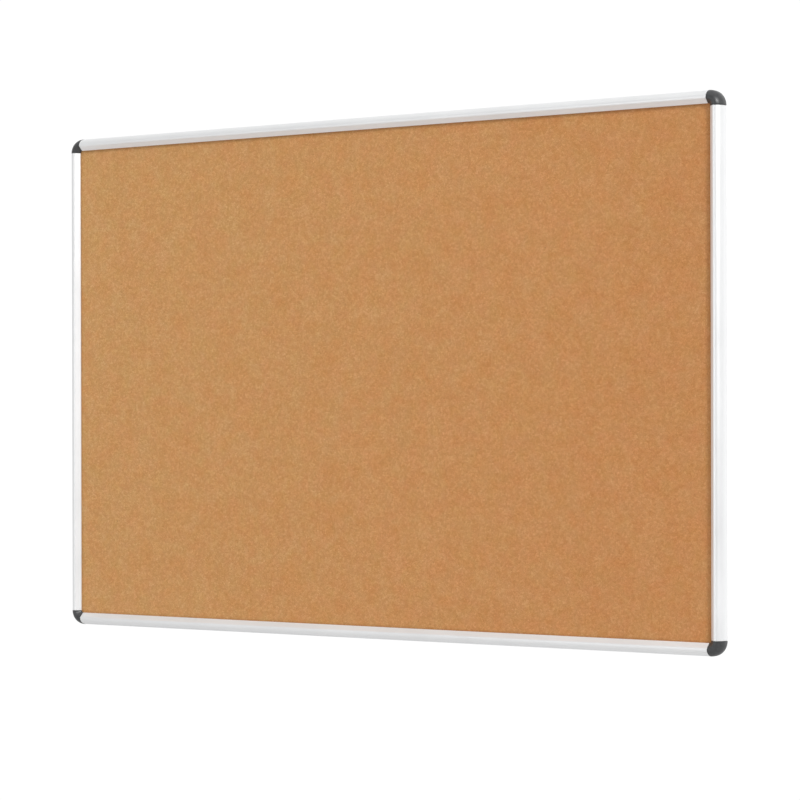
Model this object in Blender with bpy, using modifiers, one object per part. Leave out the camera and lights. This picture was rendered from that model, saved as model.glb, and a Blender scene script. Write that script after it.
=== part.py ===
"""Cork bulletin board, 900 x 600 mm, in an aluminium frame with pull-off corner caps.

X runs along the board's width, Z up its height and Y through its thickness. The wall is the
plane Y = 0 and the board faces -Y. The origin is the middle of the top rail's rear face, which
lies against the wall.

A cross-section of the frame is drawn in two coordinates: u, inwards from the frame's outer
edge, and p, forwards from the wall. A corner is drawn looking at its front, in x and y inwards
from the corner's two outer edges, with z forwards from the wall.
"""

import math

import bmesh
import bpy
from mathutils import Matrix, Vector

# Driving dimensions, in metres
BOARD_WIDTH = 0.900
BOARD_HEIGHT = 0.600
BOARD_DEPTH = 0.015  # wall to the ridge of the rails
GAP = 0.0003  # between neighbouring pieces

# Rail section
RAIL_FACE = 0.0144
RAIL_SKIN = 0.0012
OUTER_WALL_TOP = 0.0050  # height at which the outer wall starts to curve inwards
RIDGE_U = 0.0080
SLOPE_START = Vector((0.0098, 0.0142))  # straight inner slope, from the ridge to the lip
SLOPE_END = Vector((0.0141, 0.0096))
LIP_UNDERSIDE = 0.0080
LIP_EDGE_TOP = 0.0090
WEB_OUTER_U = 0.0059  # wall between the hollow chamber and the panel's slot
REAR_FLANGE_U = 0.0124

# Corner
CORNER_RADIUS = 0.01685
CAP_SKIN = 0.0013
CAP_PROUD = 0.0002
CAP_FOOT = 0.0003
PEG_RADIUS = 0.0011
PEG_FOOT = 0.0008
PEG_TOP = 0.0140
PEG_INSETS = (0.01445, 0.0072)  # from the corner's two outer edges, and the other peg swapped
LEG_OUTER_U = 0.0019
LEG_INNER_U = 0.0055
LEG_BOTTOM = 0.0015
LEG_TOP = 0.0070
LEG_REACH = 0.057  # from the corner's outer edge to the end of a leg
ELBOW_WALL = 0.0021
PAD_THICKNESS = 0.0030
WALL_HOLE_INSET = 0.0110  # from both outer edges
WALL_HOLE_RADIUS = 0.0030

# Bracket screws
SCREW_INSET = 0.0370  # along the rail, from the corner's outer edge
SCREW_HEAD_RADIUS = 0.0020
SCREW_SHANK_RADIUS = 0.0011
SCREW_HEAD_HEIGHT = 0.0011
SCREW_LENGTH = 0.0060

# Panel
PANEL_EDGE_U = 0.0076
PANEL_CHAMFER = 0.0136
BACKING_BOTTOM = 0.0015
BACKING_THICKNESS = 0.0006
CORE_THICKNESS = 0.0035
CORK_THICKNESS = 0.0015

# Smoothness of the curves
CURVE_STEPS = 9
RIDGE_STEPS = 4
LIP_STEPS = 3
CORNER_STEPS = 12
ROUND_SIDES = 16

# The middle of the board on the wall plane, seen from the origin
BOARD_CENTRE = Matrix.Translation((0, 0, (REAR_FLANGE_U - BOARD_HEIGHT) / 2))

SIDES = ("top", "right", "bottom", "left")
CORNERS = ("top_right", "bottom_right", "bottom_left", "top_left")

# Corner drawing to world, at the top right corner: x to -X, y to -Z, z to -Y
CORNER_AXES = Matrix(((-1, 0, 0, 0), (0, 0, -1, 0), (0, -1, 0, 0), (0, 0, 0, 1)))
# Rail section to world, on the top rail: u to -Z, p to -Y, length to -X
RAIL_AXES = Matrix(((0, 0, -1, 0), (0, -1, 0, 0), (-1, 0, 0, 0), (0, 0, 0, 1)))


def clear_scene():
    for obj in list(bpy.data.objects):
        bpy.data.objects.remove(obj, do_unlink=True)


def new_collection(name):
    collection = bpy.data.collections.new(name)
    bpy.context.scene.collection.children.link(collection)
    return collection


def new_material(name, color, roughness, metallic=0.0):
    material = bpy.data.materials.new(name)
    material.use_nodes = True
    shader = material.node_tree.nodes["Principled BSDF"]
    shader.inputs["Base Color"].default_value = (*color, 1.0)
    shader.inputs["Roughness"].default_value = roughness
    shader.inputs["Metallic"].default_value = metallic
    return material


def place(obj, collection, matrix, material=None):
    collection.objects.link(obj)
    obj.matrix_world = matrix
    if material:
        obj.data.materials.append(material)
    return obj


def quarter_turn(index):
    """Turns about the board's middle, each carrying the top to the right and that to the bottom."""
    return BOARD_CENTRE @ Matrix.Rotation(index * math.pi / 2, 4, "Y")


def bezier(points, steps):
    """Points along a cubic Bezier curve, the first one left out."""
    a, b, c, d = (Vector(p) for p in points)
    curve = []
    for i in range(1, steps + 1):
        t = i / steps
        s = 1 - t
        curve.append(s**3 * a + 3 * s * s * t * b + 3 * s * t * t * c + t**3 * d)
    return curve


def arc(centre, radius, start, end, steps):
    """Points along a circular arc, angles in radians, both ends included."""
    turns = [start + (end - start) * i / steps for i in range(steps + 1)]
    return [Vector((centre[0] + radius * math.cos(t), centre[1] + radius * math.sin(t))) for t in turns]


def outline_curve(name, loops, bottom, top):
    """A flat outline with any holes in it, filled and extruded from z = bottom to z = top."""
    data = bpy.data.curves.new(name, "CURVE")
    data.dimensions = "2D"
    data.fill_mode = "BOTH"
    data.extrude = (top - bottom) / 2
    for loop in loops:
        spline = data.splines.new("POLY")
        spline.points.add(len(loop) - 1)
        for point, (x, y) in zip(spline.points, loop):
            point.co = (x, y, 0, 1)
        spline.use_cyclic_u = True
    return bpy.data.objects.new(name, data)


def mesh_from_outline(name, loops, bottom, top):
    """The same as outline_curve, as a mesh that a Boolean can cut."""
    curve = outline_curve(name + "_outline", loops, bottom, top)
    bpy.context.scene.collection.objects.link(curve)
    graph = bpy.context.evaluated_depsgraph_get()
    mesh = bpy.data.meshes.new_from_object(curve.evaluated_get(graph))
    bpy.data.objects.remove(curve, do_unlink=True)
    mesh.name = name
    mesh.transform(Matrix.Translation((0, 0, (bottom + top) / 2)))
    weld(mesh)
    return mesh


def weld(mesh):
    bm = bmesh.new()
    bm.from_mesh(mesh)
    bmesh.ops.remove_doubles(bm, verts=bm.verts, dist=1e-6)
    bmesh.ops.recalc_face_normals(bm, faces=bm.faces)
    bm.to_mesh(mesh)
    bm.free()


def cylinder_mesh(name, radius_bottom, radius_top, bottom, top, centre=(0, 0)):
    bm = bmesh.new()
    middle = Matrix.Translation((centre[0], centre[1], (bottom + top) / 2))
    bmesh.ops.create_cone(
        bm,
        cap_ends=True,
        segments=ROUND_SIDES,
        radius1=radius_bottom,
        radius2=radius_top,
        depth=top - bottom,
        matrix=middle,
    )
    mesh = bpy.data.meshes.new(name)
    bm.to_mesh(mesh)
    bm.free()
    return mesh


def boolean(obj, operation, mesh, cutters):
    """Cuts obj with a mesh that is given in obj's own coordinates, or joins it on."""
    cutter = place(bpy.data.objects.new(mesh.name, mesh), cutters, obj.matrix_world)
    cutter.hide_render = True
    cutter.display_type = "WIRE"
    modifier = obj.modifiers.new(mesh.name, "BOOLEAN")
    modifier.operation = operation
    modifier.object = cutter


def shade_smooth(mesh):
    mesh.shade_smooth()
    mesh.set_sharp_from_angle(angle=math.radians(35))


def front_curve(inset):
    """The rail's rounded front from the top of its outer wall to the end of its inner slope.

    With an inset the curve lies that far inside the surface, and a negative inset stands proud.
    """
    top = BOARD_DEPTH - inset
    slope = (SLOPE_END - SLOPE_START).normalized()
    inward = Vector((slope.y, -slope.x)) * inset
    start = Vector((inset, OUTER_WALL_TOP))
    ridge = Vector((RIDGE_U, top))
    slope_start = SLOPE_START + inward
    shoulder = (start, (inset + 0.0002, 0.0098 - 0.5 * inset), (0.0040 + 0.5 * inset, top), ridge)
    brow = (ridge, ridge + Vector((0.0005, 0)), slope_start - slope * 0.0006, slope_start)
    return [start] + bezier(shoulder, CURVE_STEPS) + bezier(brow, RIDGE_STEPS) + [SLOPE_END + inward]


def slope_u_at(p, inset):
    """Where the inner slope, inset by that much, is at height p."""
    start, end = front_curve(inset)[-2:]
    return start.x + (end.x - start.x) * (p - start.y) / (end.y - start.y)


def lip_nose(inset):
    """The rounded edge of the lip, from the end of the inner slope to the lip's inner face."""
    end = front_curve(inset)[-1]
    edge = Vector((RAIL_FACE, LIP_EDGE_TOP))
    return bezier((end, end.lerp(edge, 0.4) + Vector((0.0001, 0.0001)), edge + Vector((0, 0.0002)), edge), LIP_STEPS)


def rail_section():
    """Two loops: the rail's outside, with the slot for the panel, and its hollow chamber."""
    web_inner = WEB_OUTER_U + RAIL_SKIN
    outside = [(0, 0)] + front_curve(0) + lip_nose(0)
    outside += [
        (RAIL_FACE, LIP_UNDERSIDE),
        (web_inner, LIP_UNDERSIDE),
        (web_inner, RAIL_SKIN),
        (REAR_FLANGE_U, RAIL_SKIN),
        (REAR_FLANGE_U, 0),
    ]
    floor = LIP_UNDERSIDE + RAIL_SKIN
    chamber = [(RAIL_SKIN, RAIL_SKIN)] + front_curve(RAIL_SKIN)[:-1]
    chamber += [(slope_u_at(floor, RAIL_SKIN), floor), (WEB_OUTER_U, floor), (WEB_OUTER_U, RAIL_SKIN)]
    return [outside, chamber]


def make_rail(side, index, collection, cutters, material):
    """One extruded rail, with a countersunk screw hole near each end of its rear flange."""
    length = BOARD_WIDTH if index % 2 == 0 else BOARD_HEIGHT
    reach = BOARD_HEIGHT if index % 2 == 0 else BOARD_WIDTH
    half = length / 2 - CORNER_RADIUS - GAP
    rail = bpy.data.objects.new("rail_" + side, mesh_from_outline("rail_" + side, rail_section(), -half, half))
    matrix = quarter_turn(index) @ Matrix.Translation((0, 0, reach / 2)) @ RAIL_AXES
    place(rail, collection, matrix, material)
    shade_smooth(rail.data)
    screw_u = (LEG_OUTER_U + LEG_INNER_U) / 2
    for end in (-1, 1):
        # The cone is drawn along z and turned to lie along p.
        cone = cylinder_mesh(
            f"countersink_{side}_{end}",
            SCREW_HEAD_RADIUS + 1.5 * GAP,
            SCREW_SHANK_RADIUS + GAP,
            -GAP,
            RAIL_SKIN + GAP,
        )
        along = end * (length / 2 - SCREW_INSET)
        cone.transform(Matrix.Translation((screw_u, 0, along)) @ Matrix.Rotation(-math.pi / 2, 4, "X"))
        boolean(rail, "DIFFERENCE", cone, cutters)
    return rail


def corner_matrix(index):
    """Carries a corner's drawing to its place on the board."""
    corner = Matrix.Translation((BOARD_WIDTH / 2, 0, BOARD_HEIGHT / 2))
    if index % 2:
        corner = Matrix.Translation((BOARD_HEIGHT / 2, 0, BOARD_WIDTH / 2))
    return quarter_turn(index) @ corner @ CORNER_AXES


def peg_spots():
    """The cap's two pegs, alike on both sides of the corner's diagonal."""
    along, inset = PEG_INSETS
    return ((along, inset), (inset, along))


def make_cap(name, index, collection, cutters, material):
    """A hollow quarter round that carries the rails' section round the corner, with two pegs inside."""
    outer = [Vector((-CAP_PROUD, CAP_FOOT))] + front_curve(-CAP_PROUD) + lip_nose(-CAP_PROUD)
    outer.append(Vector((RAIL_FACE, LIP_UNDERSIDE)))
    inner = [Vector((CAP_SKIN, CAP_FOOT))] + front_curve(CAP_SKIN)
    inner.append(Vector((inner[-1].x, LIP_UNDERSIDE)))
    section = outer + inner[::-1]
    bm = bmesh.new()
    ring = [bm.verts.new((CORNER_RADIUS - u, 0, p)) for u, p in section]
    edges = [bm.edges.new((a, b)) for a, b in zip(ring, ring[1:] + ring[:1])]
    bmesh.ops.spin(
        bm, geom=ring + edges, cent=(0, 0, 0), axis=(0, 0, 1), angle=math.pi / 2, steps=CORNER_STEPS
    )
    bmesh.ops.holes_fill(bm, edges=[e for e in bm.edges if e.is_boundary])
    bmesh.ops.recalc_face_normals(bm, faces=bm.faces)
    mesh = bpy.data.meshes.new(name)
    bm.to_mesh(mesh)
    bm.free()
    shade_smooth(mesh)
    centre = Matrix.Translation((CORNER_RADIUS, CORNER_RADIUS, 0)) @ Matrix.Rotation(math.pi, 4, "Z")
    cap = place(bpy.data.objects.new(name, mesh), collection, corner_matrix(index) @ centre, material)
    for number, (x, y) in enumerate(peg_spots()):
        spot = (CORNER_RADIUS - x, CORNER_RADIUS - y)
        peg = cylinder_mesh(f"{name}_peg_{number}", PEG_RADIUS, PEG_RADIUS, PEG_FOOT, PEG_TOP, spot)
        boolean(cap, "UNION", peg, cutters)
    return cap


def elbow_outline():
    """Two straight legs joined by a curved wall, all round the inside of a corner."""
    centre = (CORNER_RADIUS, CORNER_RADIUS)
    outer_radius = CORNER_RADIUS - LEG_OUTER_U
    inner_radius = outer_radius - ELBOW_WALL
    # The wall's inner face ends where the legs' inner faces cross it.
    crossing = math.asin((CORNER_RADIUS - LEG_INNER_U) / inner_radius)
    outer = arc(centre, outer_radius, -math.pi / 2, -math.pi, CORNER_STEPS)
    inner = arc(centre, inner_radius, -math.pi / 2 - crossing, crossing - math.pi, CORNER_STEPS // 3)
    leg_end = [(LEG_OUTER_U, LEG_REACH), (LEG_INNER_U, LEG_REACH)]
    return [(LEG_REACH, LEG_OUTER_U)] + outer + leg_end + inner + [(LEG_REACH, LEG_INNER_U)]


def pad_outline():
    """The foot that carries the wall screw, cut off along the panel's chamfered corner.

    Its round edge lies in the middle of the elbow's wall, and its ends stop short of the legs.
    """
    end = CORNER_RADIUS - GAP
    radius = end - LEG_OUTER_U - ELBOW_WALL / 2
    across = 2 * PANEL_EDGE_U + PANEL_CHAMFER - math.sqrt(2) * GAP - end
    return arc((end, end), radius, -math.pi / 2, -math.pi, CORNER_STEPS) + [(across, end), (end, across)]


def make_bracket(name, index, collection, cutters, material):
    """The moulded elbow that joins two rails and carries the wall screw and the cap's pegs."""
    elbow = mesh_from_outline(name, [elbow_outline()], LEG_BOTTOM, LEG_TOP)
    bracket = place(bpy.data.objects.new(name, elbow), collection, corner_matrix(index), material)
    boolean(bracket, "UNION", mesh_from_outline(name + "_pad", [pad_outline()], 0, PAD_THICKNESS), cutters)
    holes = [(WALL_HOLE_INSET, WALL_HOLE_INSET, WALL_HOLE_RADIUS)]
    holes += [(x, y, PEG_RADIUS + GAP) for x, y in peg_spots()]
    for number, (x, y, radius) in enumerate(holes):
        hole = cylinder_mesh(f"{name}_hole_{number}", radius, radius, -0.002, PAD_THICKNESS + 0.002, (x, y))
        boolean(bracket, "DIFFERENCE", hole, cutters)
    middle = (LEG_OUTER_U + LEG_INNER_U) / 2
    pilot_top = SCREW_LENGTH + 2 * GAP
    for number, spot in enumerate(((SCREW_INSET, middle), (middle, SCREW_INSET))):
        pilot = cylinder_mesh(
            f"{name}_pilot_{number}", SCREW_SHANK_RADIUS + GAP, SCREW_SHANK_RADIUS + GAP, 0, pilot_top, spot
        )
        boolean(bracket, "DIFFERENCE", pilot, cutters)
    return bracket


def make_screw(name, spot, index, collection, material):
    """A countersunk self-tapping screw, turned about z with its head at the wall."""
    profile = [
        (0, GAP),
        (SCREW_HEAD_RADIUS, GAP),
        (SCREW_SHANK_RADIUS, SCREW_HEAD_HEIGHT + GAP),
        (SCREW_SHANK_RADIUS, SCREW_LENGTH - SCREW_SHANK_RADIUS),
        (0, SCREW_LENGTH),
    ]
    mesh = bpy.data.meshes.new(name)
    edges = [(i, i + 1) for i in range(len(profile) - 1)]
    # Drawn head down, so the outer side is listed from the tip to run top to bottom.
    mesh.from_pydata([(r, 0, z) for r, z in reversed(profile)], edges, [])
    matrix = corner_matrix(index) @ Matrix.Translation((*spot, 0))
    screw = place(bpy.data.objects.new(name, mesh), collection, matrix, material)
    turn = screw.modifiers.new("turn", "SCREW")
    turn.steps = turn.render_steps = ROUND_SIDES
    turn.use_merge_vertices = True
    turn.merge_threshold = 1e-5
    turn.use_smooth_shade = True
    return screw


def make_sheet(name, back, thickness, collection, material):
    """One layer of the panel: a rectangle with its four corners cut off."""
    x = BOARD_WIDTH / 2 - PANEL_EDGE_U
    z = BOARD_HEIGHT / 2 - PANEL_EDGE_U
    cut = PANEL_CHAMFER
    quarter = [(x, z - cut), (x - cut, z)]
    corners = quarter + [(-a, b) for a, b in reversed(quarter)]
    corners += [(-a, -b) for a, b in corners]
    sheet = outline_curve(name, [corners], 0, thickness)
    middle = BOARD_CENTRE @ Matrix.Translation((0, -back - thickness / 2, 0))
    return place(sheet, collection, middle @ Matrix.Rotation(math.pi / 2, 4, "X"), material)


def make_panel(collection, materials):
    """Cork on a fibreboard core with a thin backing, laid up from the back."""
    layers = (
        ("backing_sheet", BACKING_THICKNESS, materials["backing"]),
        ("fibreboard_core", CORE_THICKNESS, materials["core"]),
        ("cork_sheet", CORK_THICKNESS, materials["cork"]),
    )
    back = BACKING_BOTTOM
    for name, thickness, material in layers:
        make_sheet(name, back, thickness, collection, material)
        back += thickness + GAP


def make_corner(name, index, collection, cutters, materials):
    make_cap("corner_cap_" + name, index, collection, cutters, materials["cap"])
    make_bracket("corner_bracket_" + name, index, collection, cutters, materials["bracket"])
    middle = (LEG_OUTER_U + LEG_INNER_U) / 2
    for number, spot in enumerate(((SCREW_INSET, middle), (middle, SCREW_INSET))):
        make_screw(f"bracket_screw_{name}_{number + 1}", spot, index, collection, materials["screw"])


def make_materials():
    return {
        "rail": new_material("satin_aluminium", (0.80, 0.81, 0.82), 0.35, 1.0),
        "cap": new_material("charcoal_plastic", (0.075, 0.077, 0.079), 0.50),
        "bracket": new_material("black_nylon", (0.030, 0.030, 0.032), 0.60),
        "screw": new_material("zinc_plate", (0.62, 0.62, 0.60), 0.30, 1.0),
        "cork": new_material("cork", (0.54, 0.28, 0.11), 0.85),
        "core": new_material("fibreboard", (0.36, 0.24, 0.14), 0.90),
        "backing": new_material("grey_backing_paper", (0.45, 0.44, 0.42), 0.80),
    }


def main():
    clear_scene()
    board = new_collection("cork_bulletin_board")
    cutters = new_collection("cutters")
    materials = make_materials()
    for index, side in enumerate(SIDES):
        make_rail(side, index, board, cutters, materials["rail"])
    for index, name in enumerate(CORNERS):
        make_corner(name, index, board, cutters, materials)
    make_panel(board, materials)


main()
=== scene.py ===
"""The looks of a cork notice board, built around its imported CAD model.

Everything is in metres, in the CAD model's frame: the board faces -Y, +Z is up, and the origin is
the middle of the top rail's rear face, on the wall. A cross-section of the frame is drawn in u,
inwards from the frame's outer edge, and p, forwards from the wall. A corner is drawn looking at
its front, in x and y inwards from the corner's two outer edges, with z forwards from the wall.
"""

import math

import bmesh
import bpy
from mathutils import Matrix, Vector, noise
from mathutils.geometry import tessellate_polygon


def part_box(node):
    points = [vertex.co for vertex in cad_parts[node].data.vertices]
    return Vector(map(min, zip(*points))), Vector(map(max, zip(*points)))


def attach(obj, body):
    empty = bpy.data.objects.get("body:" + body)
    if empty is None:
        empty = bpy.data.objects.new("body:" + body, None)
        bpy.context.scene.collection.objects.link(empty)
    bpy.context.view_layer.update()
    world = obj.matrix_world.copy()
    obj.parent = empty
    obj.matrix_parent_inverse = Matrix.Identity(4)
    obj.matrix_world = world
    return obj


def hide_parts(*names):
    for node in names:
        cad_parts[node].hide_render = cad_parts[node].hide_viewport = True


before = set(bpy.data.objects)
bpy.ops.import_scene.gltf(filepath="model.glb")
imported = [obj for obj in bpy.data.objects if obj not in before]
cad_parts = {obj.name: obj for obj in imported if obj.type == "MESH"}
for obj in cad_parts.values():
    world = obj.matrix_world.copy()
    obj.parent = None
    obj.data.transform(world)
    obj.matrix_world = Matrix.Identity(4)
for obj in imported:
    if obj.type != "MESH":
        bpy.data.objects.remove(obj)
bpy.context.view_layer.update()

MM = 0.001

# Places and sizes read from the frame
TOP_LOW, TOP_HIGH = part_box("rail_top")
BOTTOM_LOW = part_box("rail_bottom")[0]
LEFT_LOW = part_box("rail_left")[0]
RIGHT_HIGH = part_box("rail_right")[1]
BOARD_WIDTH = RIGHT_HIGH.x - LEFT_LOW.x
BOARD_HEIGHT = TOP_HIGH.z - BOTTOM_LOW.z
BOARD_DEPTH = TOP_HIGH.y - TOP_LOW.y
RAIL_FACE = TOP_HIGH.z - TOP_LOW.z
BOARD_CENTRE = Vector(
    ((LEFT_LOW.x + RIGHT_HIGH.x) / 2, TOP_HIGH.y, (TOP_HIGH.z + BOTTOM_LOW.z) / 2)
)
# The clearance between neighbouring pieces
GAP = 0.3 * MM
CORNER_RADIUS = TOP_LOW.x - LEFT_LOW.x - GAP

# Rail section, in u and p, as the CAD model has it
RAIL_SKIN = 1.2 * MM
OUTER_WALL_TOP = 5.0 * MM
RIDGE_U = 8.0 * MM
SLOPE_START = Vector((9.8, 14.2)) * MM
SLOPE_END = Vector((14.1, 9.6)) * MM
LIP_UNDERSIDE = 8.0 * MM
LIP_EDGE_TOP = 9.0 * MM
WEB_OUTER_U = 5.9 * MM
REAR_FLANGE_U = 12.4 * MM
# The rail's small edges, which the CAD model leaves sharp
SAW_CHAMFER = 0.12 * MM
LIP_RADIUS = 0.2 * MM
REAR_RADIUS = 0.3 * MM
EXTRUSION_RADIUS = 0.35 * MM

# Corner, as the CAD model has it
CAP_SKIN = 1.3 * MM
CAP_PROUD = 0.2 * MM
CAP_FOOT = 0.3 * MM
PEG_RADIUS = 1.1 * MM
PEG_FOOT = 0.8 * MM
PEG_TOP = 14.0 * MM
PEG_INSETS = (14.45 * MM, 7.2 * MM)
LEG_OUTER_U = 1.9 * MM
LEG_INNER_U = 5.5 * MM
LEG_MIDDLE_U = (LEG_OUTER_U + LEG_INNER_U) / 2
LEG_BOTTOM = 1.5 * MM
LEG_TOP = 7.0 * MM
LEG_REACH = 57.0 * MM
ELBOW_WALL = 2.1 * MM
PAD_THICKNESS = 3.0 * MM
WALL_HOLE_INSET = 11.0 * MM
WALL_HOLE_RADIUS = 3.0 * MM
SCREW_INSET = 37.0 * MM
SCREW_HEAD_RADIUS = 2.0 * MM
SCREW_SHANK_RADIUS = 1.1 * MM
SCREW_HEAD_HEIGHT = 1.1 * MM
SCREW_LENGTH = 6.0 * MM
# The corner's small edges, taper, thread and cross recess, which the CAD model leaves out
CAP_EDGE = 0.2 * MM
PEG_TAPER = 0.8
ELBOW_CHAMFER = 0.25 * MM
PAD_CHAMFER = 0.2 * MM
THREAD_PITCH = 0.8 * MM
THREAD_DEPTH = 0.18 * MM
RECESS_REACH = 1.1 * MM
RECESS_WIDTH = 0.45 * MM
RECESS_DEPTH = 0.8 * MM
# How far the tools that cut the foot's holes stand out on both sides
DRILL_OVERRUN = 2 * MM
# How many sides the pegs, their holes and the pilot holes have
SMALL_SEGMENTS = 28

# Panel, as the CAD model has it
PANEL_EDGE_U = 7.6 * MM
PANEL_CHAMFER = 13.6 * MM
# The cork's front and the liner's back: spacing of the mesh, depth and width of the unevenness
CORK_RELIEF = (5 * MM, 0.08 * MM, 14 * MM)
LINER_RELIEF = (8 * MM, 0.12 * MM, 45 * MM)

# Both clockwise from the top, as seen from the front
SIDES = ("top", "right", "bottom", "left")
CORNERS = ("top_right", "bottom_right", "bottom_left", "top_left")
# From a corner's x, y, z to the board's axes, and from a rail's u, p, length to the same
CORNER_AXES = Matrix(((-1, 0, 0, 0), (0, 0, -1, 0), (0, -1, 0, 0), (0, 0, 0, 1)))
RAIL_AXES = Matrix(((0, 0, -1, 0), (0, -1, 0, 0), (-1, 0, 0, 0), (0, 0, 0, 1)))


# ---------------------------------------------------------------- camera, light and floor

# Where the camera stands, seen from the middle of the board on the wall plane, its turns in
# degrees, its lens in millimetres and its upward shift in picture widths
CAMERA_FROM_BOARD = Vector((1.7436, -2.5530, -0.0521))
CAMERA_YAW = 33.814
CAMERA_ROLL = -0.13
LENS = 120.906
SHIFT_UP = 0.02886
CLIP_NEAR = 0.05
CLIP_FAR = 100

# The studio's glow in every direction, how much it grows towards +X, +Y and +Z, and how much it
# grows with the products XY, YZ and ZX of the direction
GLOW = 0.66
GLOW_TILT = (-0.07, 0.28, 0.06)
GLOW_SKEW = (0.31, 0.15, 0.13)
# The background that the camera sees, just over white
BACKDROP = 1.03
WHITE = (1, 1, 1, 1)
# Soft boxes: where each stands, seen from the middle of the board, its power in watts and its size
SOFT_BOXES = {
    "key": ((6.10, -3.60, 4.50), 430, 1.3),
    "front": ((-0.3, -3.2, 0.2), 13, 1.6),
    "overhead": ((0.0, -1.2, 3.0), 5, 1.6),
}
# The floor lies this far below the middle of the board, solid near it and faded out further off
FLOOR_DROP = 0.96
FLOOR_SOLID_TO = 2.0
FLOOR_GONE_AT = 3.2
FLOOR_EDGES = 96


def make_camera():
    """The camera where the photographer's stood."""
    data = bpy.data.cameras.new("camera")
    data.lens = LENS
    data.shift_y = SHIFT_UP
    data.clip_start = CLIP_NEAR
    data.clip_end = CLIP_FAR
    camera = bpy.data.objects.new("camera", data)
    camera.matrix_world = (
        Matrix.Translation(BOARD_CENTRE + CAMERA_FROM_BOARD)
        @ Matrix.Rotation(math.radians(CAMERA_YAW), 4, "Z")
        @ Matrix.Rotation(math.radians(90), 4, "X")
        @ Matrix.Rotation(math.radians(CAMERA_ROLL), 4, "Z")
    )
    bpy.context.scene.collection.objects.link(camera)
    bpy.context.scene.camera = camera


def make_lights():
    """Square soft boxes that face the board."""
    for name, (place, power, size) in SOFT_BOXES.items():
        data = bpy.data.lights.new(name, "AREA")
        data.size = size
        data.energy = power
        light = bpy.data.objects.new(name, data)
        light.location = BOARD_CENTRE + Vector(place)
        light.rotation_euler = (-Vector(place)).to_track_quat("-Z", "Y").to_euler()
        bpy.context.scene.collection.objects.link(light)


def make_world():
    """A white studio: pure white to the eye, and a soft glow that is uneven round the board."""
    world = bpy.data.worlds.new("studio")
    world.use_nodes = True
    bpy.context.scene.world = world
    tree = world.node_tree
    tree.nodes.clear()
    direction = add_node(tree, "ShaderNodeTexCoord").outputs["Generated"]
    x, y, z = add_node(tree, "ShaderNodeSeparateXYZ", {0: direction}).outputs
    turned_axes = add_node(tree, "ShaderNodeCombineXYZ", {0: y, 1: z, 2: x}).outputs[0]
    products = vector_calc(tree, "MULTIPLY", direction, turned_axes)["Vector"]
    strength = GLOW
    for vector, growth in ((direction, GLOW_TILT), (products, GLOW_SKEW)):
        term = vector_calc(tree, "DOT_PRODUCT", vector, growth)["Value"]
        strength = calc(tree, "ADD", strength, term)
    glow = add_node(tree, "ShaderNodeBackground", {"Color": WHITE, "Strength": strength})
    seen = add_node(tree, "ShaderNodeBackground", {"Color": WHITE, "Strength": BACKDROP})
    ray = add_node(tree, "ShaderNodeLightPath").outputs["Is Camera Ray"]
    mix = add_node(tree, "ShaderNodeMixShader", {0: ray, 1: glow.outputs[0], 2: seen.outputs[0]})
    add_node(tree, "ShaderNodeOutputWorld", {"Surface": mix.outputs[0]})


def make_stage():
    """A pale floor well below the board, which hangs as it would on a wall."""
    bm = bmesh.new()
    bmesh.ops.create_circle(bm, cap_ends=True, segments=FLOOR_EDGES, radius=FLOOR_GONE_AT)
    floor = object_from(bm, "floor", floor_material())
    floor.location = BOARD_CENTRE - Vector((0, 0, FLOOR_DROP))


# ---------------------------------------------------------------- node helpers


def add_node(tree, kind, inputs=None, **settings):
    """Adds a node, sets its properties, and sets or links its inputs by name or index."""
    made = tree.nodes.new(kind)
    for key, value in settings.items():
        setattr(made, key, value)
    for key, value in (inputs or {}).items():
        if isinstance(value, bpy.types.NodeSocket):
            tree.links.new(value, made.inputs[key])
        else:
            made.inputs[key].default_value = value
    return made


def new_material(name, color, roughness, metallic=0.0, specular=0.5):
    """A new material, with the plain values of its finish on its shader."""
    material = bpy.data.materials.new(name)
    material.use_nodes = True
    tree = material.node_tree
    shader = tree.nodes["Principled BSDF"]
    shader.inputs["Base Color"].default_value = (*color, 1)
    shader.inputs["Roughness"].default_value = roughness
    shader.inputs["Metallic"].default_value = metallic
    shader.inputs["Specular IOR Level"].default_value = specular
    return material, tree, shader


def stretched_place(tree, stretch=(1, 1, 1), offset=(0, 0, 0)):
    """The place on the object, stretched along its axes."""
    place = add_node(tree, "ShaderNodeTexCoord")
    inputs = {"Vector": place.outputs["Object"], "Scale": stretch, "Location": offset}
    return add_node(tree, "ShaderNodeMapping", inputs).outputs["Vector"]


def noise_value(tree, place, scale, detail=2.0, roughness=0.5, distortion=0.0):
    """A cloudy value from 0 to 1, with about so many clouds in a metre as the scale."""
    inputs = {"Vector": place, "Scale": scale, "Detail": detail}
    inputs |= {"Roughness": roughness, "Distortion": distortion}
    return add_node(tree, "ShaderNodeTexNoise", inputs).outputs["Fac"]


def grains(tree, place, scale, feature="F1"):
    """Cells of random size and place: their colour, and the distance from their middle or edge."""
    inputs = {"Vector": place, "Scale": scale, "Randomness": 1.0}
    return add_node(tree, "ShaderNodeTexVoronoi", inputs, feature=feature).outputs


def calc(tree, operation, *values):
    """The result of one step of arithmetic on sockets or numbers."""
    inputs = dict(enumerate(values))
    return add_node(tree, "ShaderNodeMath", inputs, operation=operation).outputs[0]


def vector_calc(tree, operation, *values):
    """The outputs, Vector and Value, of one step of arithmetic on vectors."""
    inputs = dict(enumerate(values))
    return add_node(tree, "ShaderNodeVectorMath", inputs, operation=operation).outputs


def weighted(tree, *terms):
    """The sum of values, each times its weight."""
    total = None
    for value, weight in terms:
        part = value if weight == 1 else calc(tree, "MULTIPLY", value, weight)
        total = part if total is None else calc(tree, "ADD", total, part)
    return total


def channel(tree, color, index):
    """The red, green or blue of a colour."""
    return add_node(tree, "ShaderNodeSeparateColor", {0: color}).outputs[index]


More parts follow.
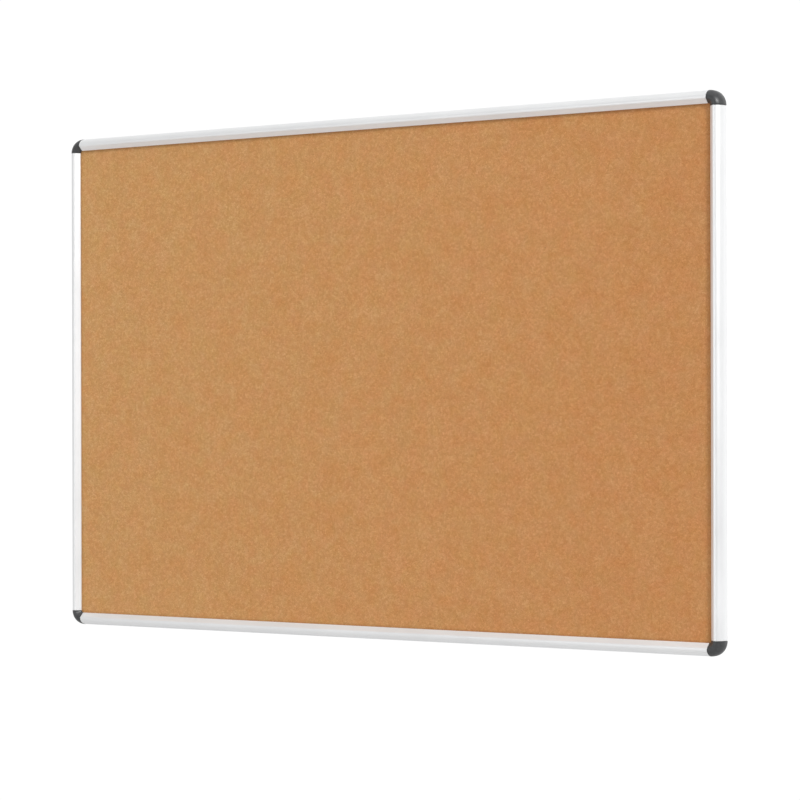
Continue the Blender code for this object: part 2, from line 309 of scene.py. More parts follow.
def spread(tree, value, low, high, to_low=0.0, to_high=1.0, curve="LINEAR"):
    """Maps low..high to to_low..to_high, clamped."""
    inputs = {"Value": value, "From Min": low, "From Max": high}
    inputs |= {"To Min": to_low, "To Max": to_high}
    return add_node(tree, "ShaderNodeMapRange", inputs, interpolation_type=curve).outputs[0]


def blend(tree, factor, first, second, mode="MIX"):
    """Two colours mixed, from the first at a factor of 0 to the second, or their product, at 1."""
    mix = add_node(tree, "ShaderNodeMix", data_type="RGBA", blend_type=mode)
    for index, value in ((0, factor), (6, first), (7, second)):
        if isinstance(value, bpy.types.NodeSocket):
            tree.links.new(value, mix.inputs[index])
        else:
            mix.inputs[index].default_value = value if index == 0 else (*value, 1)
    return mix.outputs[2]


def tinted(tree, color, tint):
    """A colour multiplied by another, or by a value."""
    return blend(tree, 1.0, color, tint, "MULTIPLY")


def ramp(tree, value, stops):
    """The colours of a list of stops, by a value from 0 to 1."""
    made = add_node(tree, "ShaderNodeValToRGB", {"Fac": value})
    elements = made.color_ramp.elements
    while len(elements) < len(stops):
        elements.new(0.5)
    for element, (place, color) in zip(elements, stops):
        element.position = place
        element.color = (*color, 1)
    return made.outputs["Color"]


def pushed_place(tree, place, scale, reach):
    """The place, pushed a little either way along each axis by a noise."""
    inputs = {"Vector": place, "Scale": scale, "Detail": 2.0}
    color = add_node(tree, "ShaderNodeTexNoise", inputs).outputs["Color"]
    centred = vector_calc(tree, "SUBTRACT", color, (0.5, 0.5, 0.5))["Vector"]
    inputs = {0: centred, "Scale": reach}
    push = add_node(tree, "ShaderNodeVectorMath", inputs, operation="SCALE").outputs[0]
    return vector_calc(tree, "ADD", place, push)["Vector"]


def spots(tree, cells, index, threshold, reach, strength):
    """Spots in the middle of the cells whose random colour is above a threshold in one channel."""
    picked = calc(tree, "GREATER_THAN", channel(tree, cells["Color"], index), threshold)
    return calc(tree, "MULTIPLY", picked, spread(tree, cells["Distance"], *reach, strength, 0.0))


def dress(tree, shader, color, roughness, height, relief):
    """Gives a shader its colour, its roughness and the relief of its surface."""
    tree.links.new(color, shader.inputs["Base Color"])
    tree.links.new(roughness, shader.inputs["Roughness"])
    inputs = {"Height": height, "Distance": relief, "Strength": 1.0}
    bump = add_node(tree, "ShaderNodeBump", inputs)
    tree.links.new(bump.outputs["Normal"], shader.inputs["Normal"])


# ---------------------------------------------------------------- materials

# Colours that a finish runs through, each at its place from 0 to 1 in a noise
FLOOR_GREYS = [(0.3, (0.65, 0.65, 0.65)), (0.7, (0.67, 0.67, 0.67))]
ALUMINIUM_GREYS = [(0.32, (0.905, 0.91, 0.915)), (0.68, (0.955, 0.96, 0.965))]
CAP_GREYS = [(0.3, (0.036, 0.037, 0.039)), (0.7, (0.054, 0.055, 0.057))]
NYLON_BLACKS = [(0.3, (0.022, 0.022, 0.024)), (0.7, (0.042, 0.042, 0.045))]
ZINC_CASTS = [(0.3, (0.60, 0.62, 0.66)), (0.55, (0.68, 0.68, 0.67)), (0.8, (0.72, 0.69, 0.60))]
SOFTBOARD_BROWNS = [(0.25, (0.26, 0.165, 0.09)), (0.75, (0.45, 0.32, 0.20))]
LINER_BROWNS = [
    (0.32, (0.345, 0.285, 0.215)),
    (0.50, (0.41, 0.35, 0.28)),
    (0.68, (0.48, 0.42, 0.35)),
]
CAP_RUBBED = (0.075, 0.076, 0.079)
NYLON_FIBRE = (0.10, 0.10, 0.105)
# Fibres in the liner: how squeezed their cells are along Z, the threshold that picks them, colour
LINER_FIBRES = ((3.5, 0.95, (0.22, 0.16, 0.10)), (0.3, 0.93, (0.60, 0.54, 0.46)))
# How much of the light the anodised skin mirrors as bare metal does, the rest being scattered in it
ALUMINIUM_METALLIC = 0.7
# How many of the cork's larger granules fit in a metre, and their tans, dark to light
CORK_GRANULES = 430.0
CORK_TANS = [
    (0.10, (0.535, 0.261, 0.089)),
    (0.40, (0.598, 0.307, 0.110)),
    (0.62, (0.643, 0.344, 0.131)),
    (0.92, (0.726, 0.424, 0.176)),
]
CORK_DARK_CRUMB = (0.412, 0.177, 0.057)
CORK_PALE_CRUMB = (0.854, 0.522, 0.232)
CORK_CRUMB_STRENGTH = 0.40
CORK_BINDER = (0.357, 0.164, 0.057)
CORK_BARK = (0.137, 0.059, 0.027)
CORK_FLECK = (0.844, 0.629, 0.386)
# The two ends of the soft patches, yellower and redder, that multiply the tans
CORK_MOTTLE = ((0.982, 1.038, 1.045), (1.018, 0.962, 0.945))
# The two ends of a second set of patches, dustier and cleaner
CORK_DUST = ((1.012, 1.022, 1.095), (0.988, 0.978, 0.905))
# The cork is redder towards the right and a little towards the bottom:
# the direction of that, and what multiplies the tans at its far end
CORK_REDDENING_WAY = (0.97, 0, -0.22)
CORK_REDDENED = (0.926, 0.80, 0.76)
# Painted shade in the corner between the cork and the lip, darkening the cork as a shadow would: how
# dark, and from where to where
CORK_LIP_SHADE = 0.84
CORK_LIP_SHADE_REACH = (0.4 * MM, 3.2 * MM)


def floor_material():
    """Pale grey, fading out smoothly away from the floor's middle."""
    material, tree, shader = new_material("pale_floor", (0.66, 0.66, 0.66), 0.9, specular=0.2)
    place = stretched_place(tree)
    grey = ramp(tree, noise_value(tree, place, 3.0, 3.0), FLOOR_GREYS)
    tree.links.new(grey, shader.inputs["Base Color"])
    reach = vector_calc(tree, "LENGTH", place)["Value"]
    alpha = spread(tree, reach, FLOOR_SOLID_TO, FLOOR_GONE_AT, 1.0, 0.0, "SMOOTHERSTEP")
    tree.links.new(alpha, shader.inputs["Alpha"])
    return material


def aluminium_material(name, stretch):
    """Satin anodised aluminium with the die lines of an extrusion running along the rail."""
    color = (0.93, 0.935, 0.94)
    material, tree, shader = new_material(name, color, 0.48, metallic=ALUMINIUM_METALLIC)
    lines_place = stretched_place(tree, stretch)
    plain_place = stretched_place(tree)
    lines = noise_value(tree, lines_place, 1.0, 3.0, 0.65)
    fine_lines = noise_value(tree, lines_place, 2.7, 2.0, 0.7)
    cloud = noise_value(tree, plain_place, 14.0, 3.0, 0.55)
    grain = noise_value(tree, plain_place, 5200.0, 1.0, 0.5)
    color = ramp(tree, weighted(tree, (lines, 0.6), (cloud, 0.4)), ALUMINIUM_GREYS)
    rough = weighted(tree, (fine_lines, 0.5), (cloud, 0.5))
    rough = spread(tree, rough, 0.3, 0.7, 0.42, 0.54)
    dress(tree, shader, color, rough, weighted(tree, (lines, 1), (grain, 0.35)), 0.006 * MM)
    return material


def cap_material():
    """Charcoal plastic with the fine spark-eroded grain of its mould, lightly rubbed."""
    material, tree, shader = new_material("charcoal_cap_plastic", (0.045, 0.046, 0.048), 0.36)
    place = stretched_place(tree)
    mottle = noise_value(tree, place, 320.0, 3.0, 0.6)
    rub = noise_value(tree, place, 90.0, 4.0, 0.65)
    grain = noise_value(tree, place, 3600.0, 2.0, 0.55)
    pits = grains(tree, place, 2300.0)["Distance"]
    rubbed = spread(tree, rub, 0.56, 0.72, 0.0, 0.35)
    color = blend(tree, rubbed, ramp(tree, mottle, CAP_GREYS), CAP_RUBBED)
    rough = spread(tree, rub, 0.35, 0.7, 0.39, 0.31)
    dress(tree, shader, color, rough, weighted(tree, (grain, 1), (pits, 0.8)), 0.03 * MM)
    return material


def bracket_material():
    """Black glass-filled nylon: flow marks, a dull skin and pale fibres near the surface."""
    material, tree, shader = new_material("black_nylon", (0.030, 0.030, 0.032), 0.58)
    flow = noise_value(tree, stretched_place(tree, (1, 1, 3)), 130.0, 4.0, 0.6, 1.5)
    fibres = noise_value(tree, stretched_place(tree, (900, 900, 5200)), 1.0, 2.0)
    pale = spread(tree, fibres, 0.62, 0.75, 0.0, 0.3)
    color = blend(tree, pale, ramp(tree, flow, NYLON_BLACKS), NYLON_FIBRE)
    rough = spread(tree, flow, 0.3, 0.7, 0.50, 0.66)
    dress(tree, shader, color, rough, weighted(tree, (flow, 1), (fibres, 1)), 0.02 * MM)
    return material


def screw_material():
    """Bright zinc plate with a slight blue and yellow cast and turning marks."""
    material, tree, shader = new_material("zinc_plate", (0.66, 0.66, 0.64), 0.3, metallic=1.0)
    cast = noise_value(tree, stretched_place(tree), 700.0, 3.0, 0.6)
    marks = noise_value(tree, stretched_place(tree, (1, 18, 1)), 900.0, 2.0)
    rough = spread(tree, marks, 0.3, 0.7, 0.22, 0.42)
    dress(tree, shader, ramp(tree, cast, ZINC_CASTS), rough, marks, 0.01 * MM)
    return material


def cork_material():
    """Fine agglomerated cork: granules of many tans, soft patches, bark specks and pale flecks."""
    material, tree, shader = new_material("cork", (0.63, 0.33, 0.12), 0.88, specular=0.35)
    place = stretched_place(tree)
    pushed = pushed_place(tree, place, 420.0, 1.1 * MM)
    large = channel(tree, grains(tree, pushed, CORK_GRANULES)["Color"], 0)
    small = channel(tree, grains(tree, pushed, 1150.0)["Color"], 1)
    edge = grains(tree, pushed, CORK_GRANULES, "DISTANCE_TO_EDGE")["Distance"]
    cloud = noise_value(tree, place, 38.0, 4.0, 0.6)
    crumb = noise_value(tree, place, 1900.0, 3.0, 0.6)
    shade = weighted(tree, (large, 0.42), (small, 0.30), (cloud, 0.28))
    color = ramp(tree, shade, CORK_TANS)
    dark_crumb = spread(tree, crumb, 0.52, 0.72, 0.0, CORK_CRUMB_STRENGTH)
    pale_crumb = spread(tree, crumb, 0.46, 0.30, 0.0, CORK_CRUMB_STRENGTH)
    color = blend(tree, dark_crumb, color, CORK_DARK_CRUMB)
    color = blend(tree, pale_crumb, color, CORK_PALE_CRUMB)
    color = blend(tree, spread(tree, edge, 0.0, 0.05, 0.30, 0.0), color, CORK_BINDER)
    color = with_patches(tree, color, place)
    specks = grains(tree, place, 95.0)
    bark = spots(tree, specks, 0, 0.985, (0.04, 0.075), 0.8)
    color = blend(tree, bark, color, CORK_BARK)
    color = blend(tree, spots(tree, specks, 1, 0.985, (0.04, 0.08), 0.5), color, CORK_FLECK)
    # Painted shade: the cork is darkened in a band along all four lips, as if shaded by them
    lip_unshaded = spread(tree, lip_distance(tree, place), *CORK_LIP_SHADE_REACH, CORK_LIP_SHADE, 1.0)
    rough = spread(tree, shade, 0.2, 0.8, 0.94, 0.80)
    granule = spread(tree, edge, 0.0, 0.12)
    height = weighted(tree, (granule, 1), (small, 0.6), (crumb, 0.8), (bark, -1.2))
    dress(tree, shader, tinted(tree, color, lip_unshaded), rough, height, 0.10 * MM)
    return material


def with_patches(tree, color, place):
    """The cork's colour with its two sets of soft patches, redder to the right and a little
    downwards.
    """
    mottle = noise_value(tree, place, 46.0, 3.0, 0.6, 0.4)
    dust = noise_value(tree, stretched_place(tree, offset=(3, 1, 2)), 60.0, 3.0, 0.6, 0.4)
    for patches, ends in ((mottle, CORK_MOTTLE), (dust, CORK_DUST)):
        color = tinted(tree, color, blend(tree, spread(tree, patches, 0.32, 0.68), *ends))
    across = vector_calc(tree, "DOT_PRODUCT", place, CORK_REDDENING_WAY)["Value"]
    reddening = spread(tree, across, -BOARD_WIDTH / 2, BOARD_WIDTH / 2)
    return tinted(tree, color, blend(tree, reddening, (1, 1, 1), CORK_REDDENED))


def lip_distance(tree, place):
    """How far a point of the panel is from the nearest lip of the frame."""
    centred = vector_calc(tree, "SUBTRACT", place, BOARD_CENTRE)["Vector"]
    axes = add_node(tree, "ShaderNodeSeparateXYZ", {0: centred}).outputs
    across = calc(tree, "SUBTRACT", BOARD_WIDTH / 2 - RAIL_FACE, calc(tree, "ABSOLUTE", axes[0]))
    up = calc(tree, "SUBTRACT", BOARD_HEIGHT / 2 - RAIL_FACE, calc(tree, "ABSOLUTE", axes[2]))
    return calc(tree, "MINIMUM", across, up)


def core_material():
    """Raw softboard: matted wood fibres."""
    material, tree, shader = new_material("softboard", (0.36, 0.24, 0.14), 0.95, specular=0.2)
    fibres = noise_value(tree, stretched_place(tree, (1, 6, 2)), 700.0, 4.0, 0.7, 2.0)
    rough = spread(tree, fibres, 0.3, 0.7, 0.90, 1.0)
    dress(tree, shader, ramp(tree, fibres, SOFTBOARD_BROWNS), rough, fibres, 0.15 * MM)
    return material


def backing_material():
    """Grey-brown recycled liner paper: cloudy pulp with short dark and pale fibres."""
    material, tree, shader = new_material("liner_paper", (0.42, 0.36, 0.29), 0.8, specular=0.3)
    place = stretched_place(tree)
    cloud = noise_value(tree, place, 22.0, 6.0, 0.62)
    pulp = noise_value(tree, place, 520.0, 4.0, 0.7, 1.2)
    color = ramp(tree, weighted(tree, (pulp, 0.75), (cloud, 0.25)), LINER_BROWNS)
    for squeeze, threshold, fibre in LINER_FIBRES:
        cells = grains(tree, stretched_place(tree, (1, 1, squeeze), (squeeze, 0, 0)), 300.0)
        color = blend(tree, spots(tree, cells, 0, threshold, (0.10, 0.30), 0.55), color, fibre)
    rough = spread(tree, cloud, 0.3, 0.7, 0.74, 0.88)
    dress(tree, shader, color, rough, weighted(tree, (pulp, 1), (cloud, 0.5)), 0.06 * MM)
    return material


# ---------------------------------------------------------------- mesh helpers


def object_from(bm, name, material):
    """A new object in the scene from a bmesh, which is freed."""
    mesh = bpy.data.meshes.new(name)
    bm.to_mesh(mesh)
    bm.free()
    mesh.materials.append(material)
    made = bpy.data.objects.new(name, mesh)
    bpy.context.scene.collection.objects.link(made)
    return made


def settle(piece, sharp_angle=35):
    """Applies the piece's modifiers, moves its place into its mesh, and shades it smooth."""
    graph = bpy.context.evaluated_depsgraph_get()
    mesh = bpy.data.meshes.new_from_object(piece.evaluated_get(graph))
    for modifier in list(piece.modifiers):
        cutter = getattr(modifier, "object", None)
        piece.modifiers.remove(modifier)
        if cutter:
            bpy.data.objects.remove(cutter, do_unlink=True)
    mesh.transform(piece.matrix_world)
    mesh.name = piece.name
    piece.data = mesh
    piece.matrix_world = Matrix.Identity(4)
    mesh.shade_smooth()
    mesh.set_sharp_from_angle(angle=math.radians(sharp_angle))


def fit_in(piece, body, slot, *nodes):
    """The piece rides on a body in the place of CAD nodes, which it hides; the slot is not used."""
    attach(piece, body)
    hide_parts(*nodes)


def boolean(piece, operation, bm, name):
    """Cuts the piece with a mesh in the piece's own coordinates, or joins that on."""
    cutter = object_from(bm, name, piece.data.materials[0])
    cutter.matrix_world = piece.matrix_world
    modifier = piece.modifiers.new(name, "BOOLEAN")
    modifier.operation = operation
    modifier.object = cutter


def bezier(points, steps):
    """Points along a cubic Bezier curve, the first one left out."""
    a, b, c, d = (Vector(p) for p in points)
    curve = []
    for i in range(1, steps + 1):
        t = i / steps
        s = 1 - t
        curve.append(s**3 * a + 3 * s * s * t * b + 3 * s * t * t * c + t**3 * d)
    return curve


def arc(centre, radius, start, end, steps):
    """Points along an arc in a plane, both ends included."""
    turns = [start + (end - start) * i / steps for i in range(steps + 1)]
    x, y = centre
    return [Vector((x + radius * math.cos(t), y + radius * math.sin(t))) for t in turns]


def rounded(before, corner, after, radius, steps=4):
    """A corner of an outline, rounded off."""
    corner = Vector(corner)
    to_before = (Vector(before) - corner).normalized()
    to_after = (Vector(after) - corner).normalized()
    half = to_before.angle(to_after) / 2
    reach = radius / math.tan(half)
    centre = corner + (to_before + to_after).normalized() * radius / math.sin(half)
    first = corner + to_before * reach - centre
    turn = (corner + to_after * reach - centre).angle_signed(first)
    return [centre + Matrix.Rotation(turn * i / steps, 2) @ first for i in range(steps + 1)]


def inset_loop(loop, distance):
    """A closed outline moved to its left by a distance, corners mitred."""
    moved = []
    for i, here in enumerate(loop):
        back = (here - loop[i - 1]).normalized()
        ahead = (loop[(i + 1) % len(loop)] - here).normalized()
        left = Vector((-back.y - ahead.y, back.x + ahead.x)).normalized()
        stretch = max(0.5, left.dot(Vector((-back.y, back.x))))
        moved.append(here + left * distance / stretch)
    return moved


def turned(loop, anticlockwise):
    """The outline, in the asked direction."""
    area = sum(a.cross(b) for a, b in zip(loop, loop[1:] + loop[:1]))
    return loop if (area > 0) == anticlockwise else loop[::-1]


def prism(loops, bottom, top, chamfer=0.0):
    """An outline with any holes in it, extruded along z, with small chamfers round both ends."""
    bm = bmesh.new()
    loops = [turned(list(map(Vector, loop)), index == 0) for index, loop in enumerate(loops)]
    levels = [(bottom, 0), (top, 0)]
    if chamfer:
        levels = [(bottom, chamfer), (bottom + chamfer, 0), (top - chamfer, 0), (top, chamfer)]
    ends = {0: [], len(levels) - 1: []}
    for loop in loops:
        rings = []
        for z, inset in levels:
            outline = inset_loop(loop, inset) if inset else loop
            rings.append([bm.verts.new((q.x, q.y, z)) for q in outline])
        for lower, upper in zip(rings, rings[1:]):
            for i in range(len(loop)):
                j = (i + 1) % len(loop)
                bm.faces.new((lower[i], lower[j], upper[j], upper[i]))
        for level in ends:
            ends[level].append(rings[level])
    for level, edge_loops in ends.items():
        flat = [v for ring in edge_loops for v in ring]
        for triangle in tessellate_polygon([[v.co for v in ring] for ring in edge_loops]):
            if len(set(triangle)) == 3:
                bm.faces.new([flat[i] for i in triangle])
    bmesh.ops.recalc_face_normals(bm, faces=bm.faces)
    return bm


def cone(radius_bottom, radius_top, bottom, top, spot=(0, 0), segments=40):
    """A capped cone or cylinder along z, over a spot in the x and y plane."""
    bm = bmesh.new()
    bmesh.ops.create_cone(
        bm,
        cap_ends=True,
        segments=segments,
        radius1=radius_bottom,
        radius2=radius_top,
        depth=top - bottom,
        matrix=Matrix.Translation((spot[0], spot[1], (bottom + top) / 2)),
    )
    return bm


def side_matrix(index):
    """A turn about the board's middle that carries the top rail to each side in turn."""
    return Matrix.Translation(BOARD_CENTRE) @ Matrix.Rotation(index * math.pi / 2, 4, "Y")


def corner_matrix(index):
    """From a corner's own x, y and z to its place on the board."""
    across, up = (BOARD_HEIGHT, BOARD_WIDTH) if index % 2 else (BOARD_WIDTH, BOARD_HEIGHT)
    return side_matrix(index) @ Matrix.Translation((across / 2, 0, up / 2)) @ CORNER_AXES


# ---------------------------------------------------------------- rails


def front_curve(inset, steps):
    """The rounded front from the top of the outer wall to the end of the inner slope."""
    top = BOARD_DEPTH - inset
    slope = (SLOPE_END - SLOPE_START).normalized()
    inward = Vector((slope.y, -slope.x)) * inset
    start = Vector((inset, OUTER_WALL_TOP))
    ridge = Vector((RIDGE_U, top))
    slope_start = SLOPE_START + inward
    before = Vector((4.0 * MM + 0.5 * inset, top))
    shoulder = (start, (inset + 0.2 * MM, 9.8 * MM - 0.5 * inset), before, ridge)
    brow = (ridge, ridge + Vector((0.5 * MM, 0)), slope_start - slope * 0.6 * MM, slope_start)
    return [start] + bezier(shoulder, steps) + bezier(brow, steps // 2) + [SLOPE_END + inward]


def lip_nose(inset, steps):
    """The rounded edge of the lip, from the end of the inner slope."""
    end = front_curve(inset, 2)[-1]
    edge = Vector((RAIL_FACE, LIP_EDGE_TOP))
    bulge = end.lerp(edge, 0.4) + Vector((0.1, 0.1)) * MM
    return bezier((end, bulge, edge + Vector((0, 0.2 * MM)), edge), steps)


def rounded_path(path, radii):
    """The inner corners of an open path, each rounded off with its radius."""
    points = []
    for before, corner, after, radius in zip(path, path[1:], path[2:], radii):
        points += rounded(before, corner, after, radius)
    return points


def rail_section():
    """Two loops: the rail's outside, with the slot for the panel, and its hollow chamber."""
    web = WEB_OUTER_U + RAIL_SKIN
    curve = front_curve(0, 26) + lip_nose(0, 8)
    path = [
        curve[-1],
        (RAIL_FACE, LIP_UNDERSIDE),
        (web, LIP_UNDERSIDE),
        (web, RAIL_SKIN),
        (REAR_FLANGE_U, RAIL_SKIN),
        (REAR_FLANGE_U, 0),
        (0, 0),
        curve[0],
    ]
    radii = [EXTRUSION_RADIUS] * 6
    radii[0] = LIP_RADIUS
    radii[3] = radii[4] = REAR_RADIUS
    outside = curve + rounded_path(path, radii)
    inner = front_curve(RAIL_SKIN, 16)
    floor = LIP_UNDERSIDE + RAIL_SKIN
    start, end = inner[-2:]
    floor_u = start.x + (end.x - start.x) * (floor - start.y) / (end.y - start.y)
    path = [
        start,
        (floor_u, floor),
        (WEB_OUTER_U, floor),
        (WEB_OUTER_U, RAIL_SKIN),
        (RAIL_SKIN, RAIL_SKIN),
        inner[0],
    ]
    chamber = inner[:-1] + rounded_path(path, [EXTRUSION_RADIUS] * 4)
    return [outside, chamber]


def make_rail(side, index, material):
    """An extruded rail, its screw holes countersunk in its rear face."""
    long = index % 2 == 0
    length, reach = (BOARD_WIDTH, BOARD_HEIGHT) if long else (BOARD_HEIGHT, BOARD_WIDTH)
    half = length / 2 - CORNER_RADIUS - GAP
    rail = object_from(prism(rail_section(), -half, half, SAW_CHAMFER), side + "_rail", material)
    rail.matrix_world = side_matrix(index) @ Matrix.Translation((0, 0, reach / 2)) @ RAIL_AXES
    wide, narrow = SCREW_HEAD_RADIUS + 1.5 * GAP, SCREW_SHANK_RADIUS + GAP
    for end in (-1, 1):
        hole = cone(wide, narrow, -GAP, RAIL_SKIN + GAP)
        along = end * (length / 2 - SCREW_INSET)
        lying = Matrix.Translation((LEG_MIDDLE_U, 0, along)) @ Matrix.Rotation(-math.pi / 2, 4, "X")
        hole.transform(lying)
        boolean(rail, "DIFFERENCE", hole, f"{side}_hole_{end}")
    settle(rail)
    fit_in(rail, "board", "frame_aluminium", "rail_" + side)


# ---------------------------------------------------------------- corners


def peg_spots():
    """Where a cap's two pegs stand in the corner."""
    along, inset = PEG_INSETS
    return ((along, inset), (inset, along))


def make_cap(corner, index, material):
    """A hollow quarter round that carries the rails' section round the corner, on two pegs."""
    outer = [Vector((-CAP_PROUD, CAP_FOOT))] + front_curve(-CAP_PROUD, 22) + lip_nose(-CAP_PROUD, 5)
    outer.append(Vector((RAIL_FACE, LIP_UNDERSIDE)))
    inner = [Vector((CAP_SKIN, CAP_FOOT))] + front_curve(CAP_SKIN, 14)
    inner.append(Vector((inner[-1].x, LIP_UNDERSIDE)))
    bm = bmesh.new()
    ring = [bm.verts.new((CORNER_RADIUS - q.x, 0, q.y)) for q in outer + inner[::-1]]
    edges = [bm.edges.new((a, b)) for a, b in zip(ring, ring[1:] + ring[:1])]
    bmesh.ops.spin(bm, geom=ring + edges, cent=(0, 0, 0), axis=(0, 0, 1), angle=math.pi / 2, steps=15)
    bmesh.ops.holes_fill(bm, edges=[e for e in bm.edges if e.is_boundary])
    bmesh.ops.recalc_face_normals(bm, faces=bm.faces)
    cap = object_from(bm, corner + "_cap", material)
    cap.matrix_world = (
        corner_matrix(index)
        @ Matrix.Translation((CORNER_RADIUS, CORNER_RADIUS, 0))
        @ Matrix.Rotation(math.pi, 4, "Z")
    )
    for number, (x, y) in enumerate(peg_spots()):
        spot = (CORNER_RADIUS - x, CORNER_RADIUS - y)
        peg = cone(PEG_RADIUS * PEG_TAPER, PEG_RADIUS, PEG_FOOT, PEG_TOP, spot, SMALL_SEGMENTS)
        boolean(cap, "UNION", peg, f"{corner}_peg_{number}")
    edge = cap.modifiers.new("edge", "BEVEL")
    edge.width = CAP_EDGE
    edge.segments = 3
    edge.limit_method = "ANGLE"
    edge.angle_limit = math.radians(50)
    settle(cap, sharp_angle=40)
    fit_in(cap, "cap_" + corner, "cap_plastic", "corner_cap_" + corner)


def elbow_outline():
    """The bracket's two legs and the curved wall that joins them."""
    centre = (CORNER_RADIUS, CORNER_RADIUS)
    outer_radius = CORNER_RADIUS - LEG_OUTER_U
    inner_radius = outer_radius - ELBOW_WALL
    crossing = math.asin((CORNER_RADIUS - LEG_INNER_U) / inner_radius)
    outer = arc(centre, outer_radius, -math.pi / 2, -math.pi, 32)
    inner = arc(centre, inner_radius, -math.pi / 2 - crossing, crossing - math.pi, 12)
    leg_end = [Vector((LEG_OUTER_U, LEG_REACH)), Vector((LEG_INNER_U, LEG_REACH))]
    first, last = Vector((LEG_REACH, LEG_OUTER_U)), Vector((LEG_REACH, LEG_INNER_U))
    return [first] + outer + leg_end + inner + [last]


def pad_outline():
    """The bracket's foot, cut off in line with the panel's corner."""
    end = CORNER_RADIUS - GAP
    radius = end - LEG_OUTER_U - ELBOW_WALL / 2
    across = 2 * PANEL_EDGE_U + PANEL_CHAMFER - math.sqrt(2) * GAP - end
    corners = [Vector((across, end)), Vector((end, across))]
    return arc((end, end), radius, -math.pi / 2, -math.pi, 24) + corners


def make_bracket(corner, index, material):
    """The moulded elbow that joins two rails, with a foot for the wall screw and the cap's pegs."""
    elbow = prism([elbow_outline()], LEG_BOTTOM, LEG_TOP, ELBOW_CHAMFER)
    bracket = object_from(elbow, corner + "_bracket", material)
    bracket.matrix_world = corner_matrix(index)
    pad = prism([pad_outline()], 0, PAD_THICKNESS, PAD_CHAMFER)
    boolean(bracket, "UNION", pad, corner + "_pad")
    below, above = -DRILL_OVERRUN, PAD_THICKNESS + DRILL_OVERRUN
    spot = (WALL_HOLE_INSET, WALL_HOLE_INSET)
    wall_hole = cone(WALL_HOLE_RADIUS, WALL_HOLE_RADIUS, below, above, spot)
    boolean(bracket, "DIFFERENCE", wall_hole, corner + "_wall_hole")
    radius = PEG_RADIUS + GAP
    for number, spot in enumerate(peg_spots()):
        hole = cone(radius, radius, below, above, spot, SMALL_SEGMENTS)
        boolean(bracket, "DIFFERENCE", hole, f"{corner}_peg_hole_{number}")
    radius = SCREW_SHANK_RADIUS + GAP
    for number, spot in enumerate(screw_spots()):
        pilot = cone(radius, radius, 0, SCREW_LENGTH + 2 * GAP, spot, SMALL_SEGMENTS)
        boolean(bracket, "DIFFERENCE", pilot, f"{corner}_pilot_{number}")
    settle(bracket)
    fit_in(bracket, "board", "bracket_plastic", "corner_bracket_" + corner)


def screw_spots():
    """Where the two screws of a corner go in."""
    return ((SCREW_INSET, LEG_MIDDLE_U), (LEG_MIDDLE_U, SCREW_INSET))


def screw_profile():
    """Radius and height from the tip down to the head, with a thread's ridges on the shank."""
    top = SCREW_LENGTH - SCREW_SHANK_RADIUS
    bottom = SCREW_HEAD_HEIGHT + 2.2 * GAP
    profile = [(0, SCREW_LENGTH), (0.35 * MM, SCREW_LENGTH - 0.3 * MM)]
    for turn in range(int((top - bottom) / THREAD_PITCH)):
        z = top - turn * THREAD_PITCH
        profile.append((SCREW_SHANK_RADIUS, z))
        profile.append((SCREW_SHANK_RADIUS - THREAD_DEPTH, z - THREAD_PITCH / 2))
    return profile + [
        (SCREW_SHANK_RADIUS, bottom),
        (SCREW_SHANK_RADIUS, SCREW_HEAD_HEIGHT + GAP),
        (SCREW_HEAD_RADIUS - 0.05 * MM, GAP + 0.12 * MM),
        (SCREW_HEAD_RADIUS - 0.15 * MM, GAP),
        (0, GAP),
    ]


def cross_outline():
    """The cross recess, seen along the screw."""
    arm = [Vector((RECESS_REACH, -RECESS_WIDTH / 2)), Vector((RECESS_REACH, RECESS_WIDTH / 2))]
    arm.append(Vector((RECESS_WIDTH / 2, RECESS_WIDTH / 2)))
    return [Matrix.Rotation(turn * math.pi / 2, 2) @ point for turn in range(4) for point in arm]


def make_screw(corner, number, spot, index, material):
    """A countersunk self-tapping screw with a cross recess in its head."""
    bm = bmesh.new()
    ring = [bm.verts.new((r, 0, z)) for r, z in screw_profile()]
    edges = [bm.edges.new(pair) for pair in zip(ring, ring[1:])]
    bmesh.ops.spin(bm, geom=ring + edges, cent=(0, 0, 0), axis=(0, 0, 1), angle=math.tau, steps=32)
    bmesh.ops.remove_doubles(bm, verts=bm.verts, dist=1e-6)
    bmesh.ops.recalc_face_normals(bm, faces=bm.faces)
    screw = object_from(bm, f"{corner}_screw_{number}", material)
    screw.matrix_world = corner_matrix(index) @ Matrix.Translation((*spot, 0))
    recess = prism([cross_outline()], -SCREW_HEAD_HEIGHT, GAP + RECESS_DEPTH)
    boolean(screw, "DIFFERENCE", recess, f"{corner}_{number}_recess")
    settle(screw, sharp_angle=30)
    fit_in(screw, "board", "screw_steel", f"bracket_screw_{corner}_{number}")


# ---------------------------------------------------------------- panel


def cut_corners(bm, across, up):
    """Cuts the corners off a flat grid round the origin."""
    for sign_x in (-1, 1):
        for sign_y in (-1, 1):
            outward = Vector((sign_x, sign_y, 0))
            x, y = across / 2 - PANEL_CHAMFER / 2, up / 2 - PANEL_CHAMFER / 2
            bmesh.ops.bisect_plane(
                bm,
                geom=bm.verts[:] + bm.edges[:] + bm.faces[:],
                dist=1e-7,
                plane_co=Vector((sign_x * x, sign_y * y, 0)),
                plane_no=outward,
                clear_outer=True,
            )


def dent(verts, depth, size):
    """Moves verts along z by an uneven part of a depth, with dents of about a size."""
    for vert in verts:
        rough = noise.noise(Vector((vert.co.x, vert.co.y, 3.7)) / size)
        rough += 0.5 * noise.noise(Vector((vert.co.x, vert.co.y, 8.1)) / (size / 3))
        vert.co.z += depth * (0.5 + rough / 3)


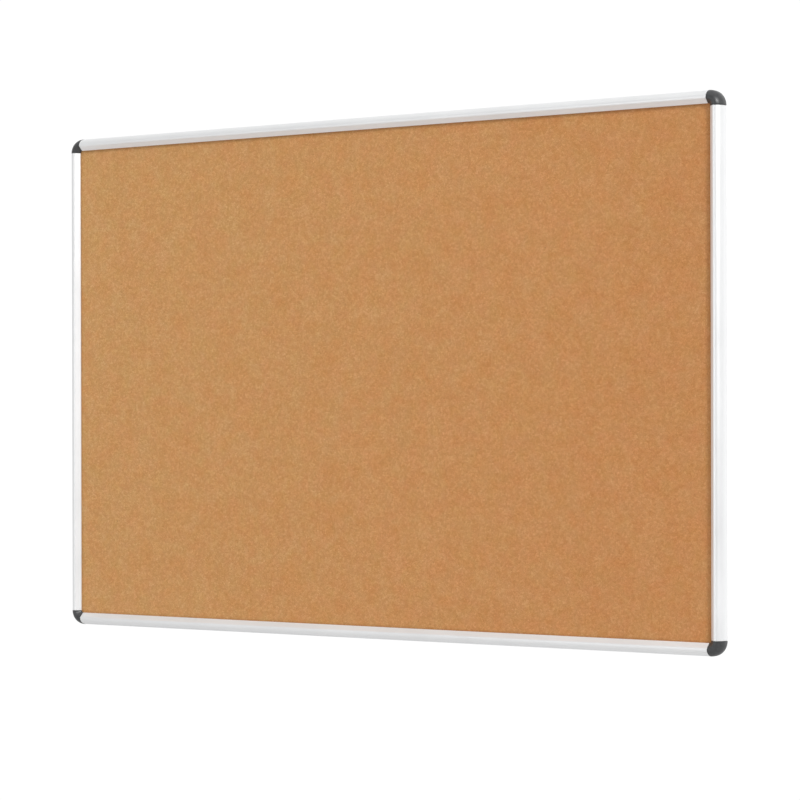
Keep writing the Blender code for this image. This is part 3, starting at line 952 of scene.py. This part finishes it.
def panel_sheet(name, node, relief, front, material, slot):
    """A layer of the panel as a fine grid with its corners cut off and one face gently uneven."""
    spacing, depth, size = relief
    low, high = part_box(node)
    across, up, thickness = high.x - low.x, high.z - low.z, high.y - low.y
    bm = bmesh.new()
    columns, rows = round(across / spacing), round(up / spacing)
    bmesh.ops.create_grid(bm, x_segments=columns, y_segments=rows, size=0.5)
    bmesh.ops.scale(bm, vec=(across, up, 1), verts=bm.verts)
    cut_corners(bm, across, up)
    extruded = bmesh.ops.extrude_face_region(bm, geom=bm.faces[:])
    upper = [g for g in extruded["geom"] if isinstance(g, bmesh.types.BMVert)]
    bmesh.ops.translate(bm, vec=(0, 0, thickness), verts=upper)
    if front:
        dent(upper, -depth, size)
    else:
        dent([v for v in bm.verts if v.co.z < thickness / 2], depth, size)
    bmesh.ops.recalc_face_normals(bm, faces=bm.faces)
    sheet = object_from(bm, name, material)
    middle = Vector(((low.x + high.x) / 2, high.y, (low.z + high.z) / 2))
    sheet.matrix_world = Matrix.Translation(middle) @ Matrix.Rotation(math.pi / 2, 4, "X")
    settle(sheet, sharp_angle=50)
    fit_in(sheet, "board", slot, node)


def make_panel():
    """The cork in front and the liner behind. The core between them keeps its CAD mesh."""
    panel_sheet("cork_face", "cork_sheet", CORK_RELIEF, True, cork_material(), "cork")
    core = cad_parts["fibreboard_core"]
    core.data.materials.clear()
    core.data.materials.append(core_material())
    panel_sheet("liner", "backing_sheet", LINER_RELIEF, False, backing_material(), "backing_paper")


# ---------------------------------------------------------------- the scene


def main():
    """Builds the studio and the board."""
    bpy.context.scene.view_settings.view_transform = "Standard"
    make_camera()
    make_world()
    make_lights()
    make_stage()
    # Die lines run along X on the long rails and along Z on the short ones.
    long_metal = aluminium_material("satin_aluminium_long", (4, 2600, 2600))
    short_metal = aluminium_material("satin_aluminium_short", (2600, 2600, 4))
    for index, side in enumerate(SIDES):
        make_rail(side, index, short_metal if index % 2 else long_metal)
    plastic, nylon, zinc = cap_material(), bracket_material(), screw_material()
    for index, corner in enumerate(CORNERS):
        make_cap(corner, index, plastic)
        make_bracket(corner, index, nylon)
        for number, spot in enumerate(screw_spots(), start=1):
            make_screw(corner, number, spot, index, zinc)
    make_panel()


main()
